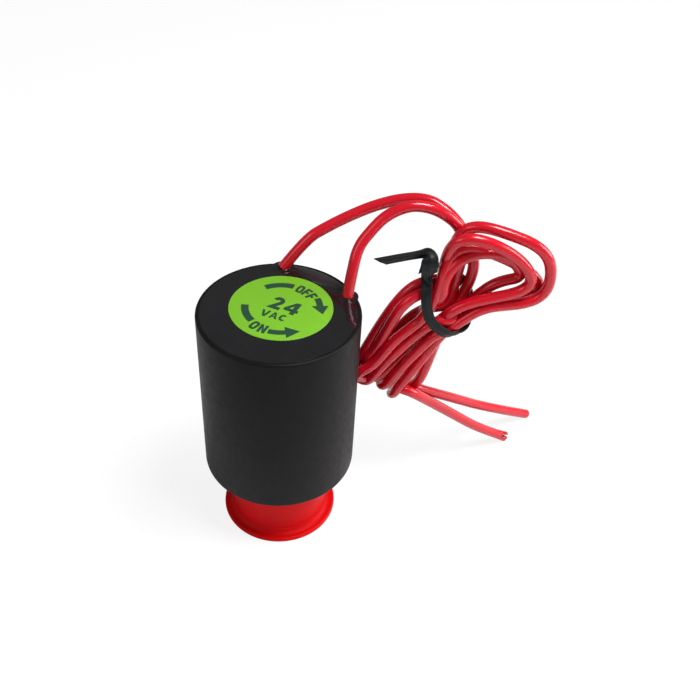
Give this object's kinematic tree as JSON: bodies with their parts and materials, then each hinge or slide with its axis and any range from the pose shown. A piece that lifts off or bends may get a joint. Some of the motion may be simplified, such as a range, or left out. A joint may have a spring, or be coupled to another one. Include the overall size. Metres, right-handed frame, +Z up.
{
  "type": "solenoid valve coil",
  "caption": "Potted cylindrical solenoid coil on a threaded stem with a red thread cap, sprung plunger and two red leads folded into a tied hank.",
  "frame": {"origin": "on the coil's axis, on the face of the thread cap that it stands on", "axes": "+Z up the coil's axis, +X towards the side where the tied leads lie"},
  "size_m": [0.083, 0.0445, 0.075],
  "materials": {
    "coil_black": "satin moulded black",
    "stem_black": "satin moulded black",
    "potting_black": "glossy cast resin",
    "label_green": "satin printed film",
    "cap_red": "semi-gloss moulded red",
    "lead_red": "semi-gloss extruded insulation",
    "tie_black": "satin plastic coating",
    "copper": "bare and enamelled copper",
    "magnet_steel": "zinc-plated soft iron",
    "stainless": "turned stainless",
    "bobbin_nylon": "natural nylon",
    "amber_tape": "polyester tape",
    "seal_rubber": "moulded rubber"
  },
  "bodies": {
    "coil": {"housing": "coil_black", "threaded_stem": "stem_black", "stem_o_ring": "seal_rubber", "plunger_retainer": "bobbin_nylon", "yoke_sleeve": "magnet_steel", "lower_flux_washer": "magnet_steel", "upper_flux_washer": "magnet_steel", "bobbin": "bobbin_nylon", "copper_winding": "copper", "winding_tape": "amber_tape", "guide_tube": "stainless", "fixed_core": "stainless", "shading_ring": "copper", "splice_sleeves": "tie_black", "winding_tails": "copper", "potting_fill": "potting_black", "lead_sealant": "potting_black", "rating_label": "label_green", "lead_a": "lead_red", "lead_b": "lead_red", "wire_hank": "lead_red", "tail_a": "lead_red", "tail_b": "lead_red", "tie_band": "tie_black", "tie_knot": "tie_black", "bare_strands": "copper"},
    "plunger": {"plunger": "stainless", "plunger_seal": "seal_rubber", "plunger_spring": "stainless"},
    "cap": {"thread_cap": "cap_red"}
  },
  "joints": [
    {"name": "plunger_slide", "type": "slide", "parent": "coil", "child": "plunger", "axis": [0, 0, 1], "range_m": [0, 0.0026], "stiffness_N_per_m": 170, "springref_m": -0.006, "deforming": ["plunger_spring"]},
    {"name": "cap_pull", "type": "slide", "parent": "coil", "child": "cap", "axis": [0, 0, -1], "range_m": [0, 0.02]}
  ]
}
